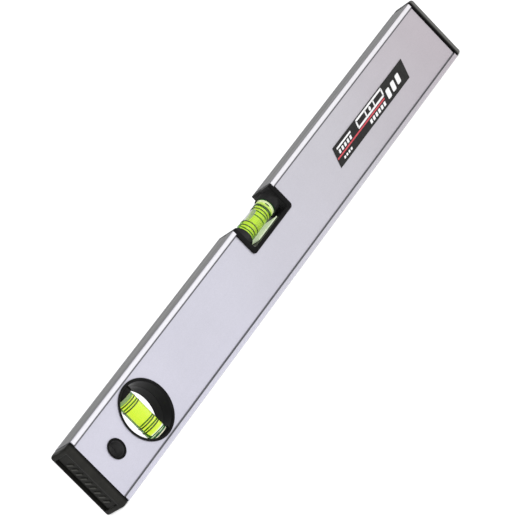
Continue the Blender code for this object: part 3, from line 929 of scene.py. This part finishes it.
def u_frame(half_outside, low, top):
    """Outline in (x, z) of a frame open at the top: two walls and a floor."""
    corner = HOLDER_CORNER
    outer = half_outside - corner
    inner = HOLDER_WALL_INSIDE - HOLDER_FILLET
    floor = HOLDER_FLOOR_TOP + HOLDER_FILLET
    outline = [(-half_outside, top)]
    outline += arc((-outer, low + corner), corner, 180, 270, CORNER_STEPS)
    outline += arc((outer, low + corner), corner, 270, 360, CORNER_STEPS)
    outline += [(half_outside, top), (HOLDER_WALL_INSIDE, top)]
    outline += arc((inner, floor), HOLDER_FILLET, 0, -90, CORNER_STEPS)
    outline += arc((-inner, floor), HOLDER_FILLET, 270, 180, CORNER_STEPS)
    outline += [(-HOLDER_WALL_INSIDE, top)]
    return outline


def level_holder(node, name, side, vial, material):
    """Half of the U-shaped holder with its lip, its two collars and soft edges."""
    low, high = span(node)
    joint = side * GAP / 2
    face = side * max(abs(low.y), abs(high.y))
    outline = u_frame(high.x - HOLDER_LIP - GAP, low.z + HOLDER_LIP + GAP, HOLDER_TOP)
    holder = prism(name, outline, along_y, *sorted((joint, face)), material)
    rim = u_frame(high.x, low.z, span("box_extrusion")[1].z - HOLDER_LIP_DROP)
    lip = prism(f"{name}_lip", rim, along_y, *sorted((face - side * LIP_THICK, face)))
    tools = [boolean(holder, lip, "UNION")]
    length, width, height = HOLDER_CUT
    for end in (-1, 1):
        ends = sorted((end * COLLAR_END, end * (HOLDER_WALL_INSIDE + COLLAR_ROOT)))
        profile = rectangle(0.0, COLLAR_RADIUS, *ends)
        collar = turned(f"{name}_collar_{end}", profile, vial.matrix)
        near, far = sorted((joint, side * width))
        box = block(f"{name}_half_{end}", (-length, near, 0.0), (length, far, height))
        boolean(collar, box, "INTERSECT")
        tools.append(boolean(holder, settled(collar, [box]), "UNION"))
    tools.append(boolean(holder, vial_hole(f"{name}_hole", vial)))
    settled(holder, tools)
    bevelled(holder, HOLDER_EDGE)
    return stands_for(settled(holder), "black_plastic", node)


def reflector(material):
    """Pale strip on the holder's floor, with turned-up edges."""
    low, high = span("level_reflector")
    rise = high.z + STRIP_RISE
    top, foot = STRIP_EDGE
    outline = [
        (low.y, rise), (low.y, low.z), (high.y, low.z), (high.y, rise),
        (high.y - top, rise), (high.y - foot, high.z),
        (low.y + foot, high.z), (low.y + top, rise),
    ]
    outline = softened(outline, STRIP_ROUND)
    strip = prism("pale_strip", outline, along_x, low.x, high.x, material)
    return stands_for(strip, "pale_strip", "level_reflector")


# ----------------------------------------------------------------------- label


class Label:
    """The slanted label's own coordinates: u along it from its left edge, v up from its foot,
    both in millimetres."""

    def __init__(self):
        low, high = span("front_label")
        self.left = low.x
        self.foot = low.z
        self.height = high.z - low.z
        self.front = low.y

    def place(self, u, v):
        return self.left + u + LABEL_SLANT * v / self.height, self.foot + v

    def slab(self, bm, outline, thick=PRINT_THICK):
        near = self.front - PRINT_LIFT
        flat = [self.place(u, v) for u, v in outline]
        loft_into(bm, [[(x, depth, z) for x, z in flat] for depth in (near, near - thick)])

    def bar(self, bm, u, v, width, height, soft=PRINT_ROUND, thick=PRINT_THICK):
        self.slab(bm, softened(rectangle(u, u + width, v, v + height), soft), thick)


def label_prints(looks):
    """Generic marks in place of lettering: dashes, a drawing of a vial, bars and a stripe."""
    label = Label()
    white = bmesh.new()
    # Dashes at the left.
    label.bar(white, 3.4, 9.2, 19.0, 1.1)
    for index in range(5):
        label.bar(white, 4.4 + 3.7 * index, 6.2, 2.2, 2.2)
    for index in range(4):
        label.bar(white, 6.6 + 3.0 * index, 1.7, 1.9, 1.4, 0.2)
    # The vial: its outline, its two lines and its bubble.
    label.bar(white, 31.0, 10.3, 36.0, 1.2)
    label.bar(white, 31.0, 6.0, 36.0, 1.2)
    label.bar(white, 30.6, 6.8, 1.5, 3.9)
    label.bar(white, 65.9, 6.8, 1.5, 3.9)
    label.bar(white, 42.6, 7.0, 1.3, 3.5, 0.2)
    label.bar(white, 54.0, 7.0, 1.3, 3.5, 0.2)
    label.slab(white, arc((48.9, 8.7), 1.25, 0, 345, 23))
    # Dashes under it, and the three bars at the right.
    for index in range(6):
        label.bar(white, 44.0 + 3.8 * index, 1.5, 2.5, 2.3, 0.25)
    for index in range(3):
        label.bar(white, 70.0 + 7.2 * index, 2.0 + 0.5 * index, 4.6, 5.6, 1.0)
    stands_for(piece("label_marks", white, looks["white"]), "label_print")
    red = bmesh.new()
    label.bar(red, 0.4, 4.55, 66.0, 0.95, 0.2, STRIPE_THICK)
    stands_for(piece("label_stripe", red, looks["red"]), "label_print")


# ----------------------------------------------------------------------- scene


def make_camera():
    """A long lens at the photograph's angle, rolled so that the level runs diagonally."""
    data = bpy.data.cameras.new("camera")
    data.sensor_width = SENSOR
    data.lens = CAMERA_LENS
    data.clip_start, data.clip_end = CAMERA_CLIP
    camera = bpy.data.objects.new("camera", data)
    bpy.context.scene.collection.objects.link(camera)
    azimuth = math.radians(CAMERA_AZIMUTH)
    elevation = math.radians(CAMERA_ELEVATION)
    back = Vector((
        math.sin(azimuth) * math.cos(elevation),
        -math.cos(azimuth) * math.cos(elevation),
        math.sin(elevation),
    ))
    camera.location = Vector(CAMERA_TARGET) + back * CAMERA_DISTANCE
    turn = (-back).to_track_quat("-Z", "Y").to_matrix().to_4x4()
    turn = turn @ Matrix.Rotation(math.radians(CAMERA_ROLL), 4, "Z")
    camera.rotation_euler = turn.to_euler()
    bpy.context.scene.camera = camera


def area_light(name, place, target, size, power):
    data = bpy.data.lights.new(name, "AREA")
    data.size = size
    data.energy = power
    obj = bpy.data.objects.new(name, data)
    bpy.context.scene.collection.objects.link(obj)
    obj.location = place
    aim = Vector(target) - Vector(place)
    obj.rotation_euler = aim.to_track_quat("-Z", "Y").to_euler()


def studio():
    """White light all round the horizon, dimmer overhead, with a pale glowing floor."""
    scene = bpy.context.scene
    scene.view_settings.view_transform = "Standard"
    world = bpy.data.worlds.new("studio")
    scene.world = world
    world.use_nodes = True
    tree = world.node_tree
    background = tree.nodes["Background"]
    coords = tree.nodes.new("ShaderNodeTexCoord")
    parts = tree.nodes.new("ShaderNodeSeparateXYZ")
    ramp = tree.nodes.new("ShaderNodeValToRGB")
    tree.links.new(coords.outputs["Generated"], parts.inputs["Vector"])
    tree.links.new(parts.outputs["Z"], ramp.inputs["Fac"])
    tree.links.new(ramp.outputs["Color"], background.inputs["Color"])
    for element, (position, colour) in zip(ramp.color_ramp.elements, (HORIZON, OVERHEAD)):
        element.position = position
        element.color = colour
    background.inputs["Strength"].default_value = 1.0
    bm = bmesh.new()
    bmesh.ops.create_grid(bm, x_segments=4, y_segments=4, size=FLOOR_REACH / MM)
    finish = Finish("floor", grey(0.9), 0.7)
    finish.put("Emission Color", (1.0, 1.0, 1.0, 1.0))
    finish.put("Emission Strength", FLOOR_GLOW)
    floor = piece("floor", bm, finish.material)
    floor.location = (0.0, 0.0, -FLOOR_DROP)
    area_light("key", **KEY_LAMP)
    area_light("fill", **FILL_LAMP)


def main():
    make_camera()
    studio()
    looks = build_materials()
    for node, look in (("box_extrusion", "silver"), ("front_label", "label")):
        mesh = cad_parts[node].data
        mesh.materials.clear()
        mesh.materials.append(looks[look])
    end_cap("end_cap_left", "cap_left", -1, looks["cap"])
    end_cap("end_cap_right", "cap_right", 1, looks["cap"])
    level = Vial("level", (1, 0, 0))
    plumb = Vial("plumb", (0, 0, -1))
    for side, tag in ((-1, "front"), (1, "back")):
        lining(
            f"plumb_window_{tag}", f"window_ring_{tag}", side,
            RING_BORE_RADIUS, RING_BARREL_RADIUS, WINDOW_ROUND, looks["lining"], plumb,
        )
        lining(
            f"hanging_bush_{tag}", f"hang_lining_{tag}", side,
            HANG_BORE_RADIUS, HANG_BARREL_RADIUS, HANG_ROUND, looks["bush"],
        )
        level_holder(f"level_holder_{tag}", f"vial_holder_{tag}", side, level, looks["black"])
    build_vial(level, looks)
    build_vial(plumb, looks)
    level_bubble(level, looks["level_air"])
    plumb_bubble(plumb, looks["plumb_air"])
    reflector(looks["pale"])
    label_prints(looks)


main()
